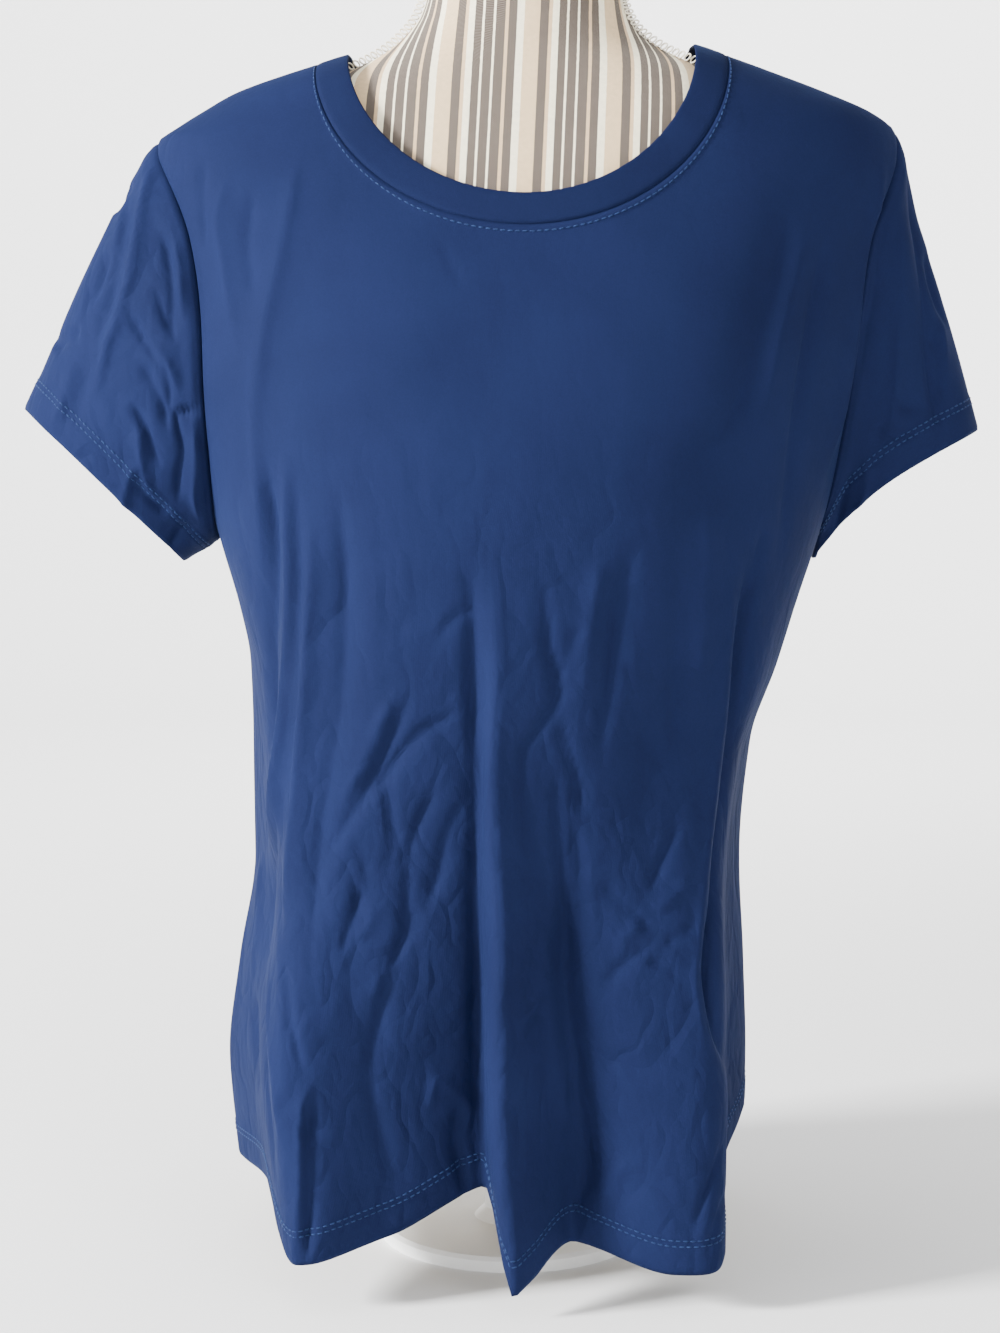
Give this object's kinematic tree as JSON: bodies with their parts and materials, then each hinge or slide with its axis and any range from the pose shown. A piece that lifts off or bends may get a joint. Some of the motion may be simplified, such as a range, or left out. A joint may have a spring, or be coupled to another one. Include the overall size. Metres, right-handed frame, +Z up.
{
  "type": "crew neck t-shirt on a dress form",
  "caption": "Short-sleeved crew neck t-shirt in navy jersey, hollow as worn, draped in soft folds over a limbless striped dress form that stands on a disc foot.",
  "frame": {"origin": "middle of the foot's underside, on the surface that it stands on", "axes": "+Z up, -Y out of the shirt's front, +X towards the wearer's left"},
  "size_m": [0.5228, 0.2687, 0.711],
  "materials": {
    "navy_jersey": "smooth cotton jersey with a slight sheen",
    "navy_rib": "doubled cotton jersey band",
    "striped_linen": "woven linen with ticking stripes",
    "cap_wood": "satin",
    "foot_paint": "matte white"
  },
  "bodies": {
    "root": {"front": "navy_jersey", "back": "navy_jersey", "sleeve_right": "navy_jersey", "sleeve_left": "navy_jersey", "neckband": "navy_rib", "form_torso": "striped_linen", "form_neck_cap": "cap_wood", "form_foot": "foot_paint"}
  },
  "joints": []
}
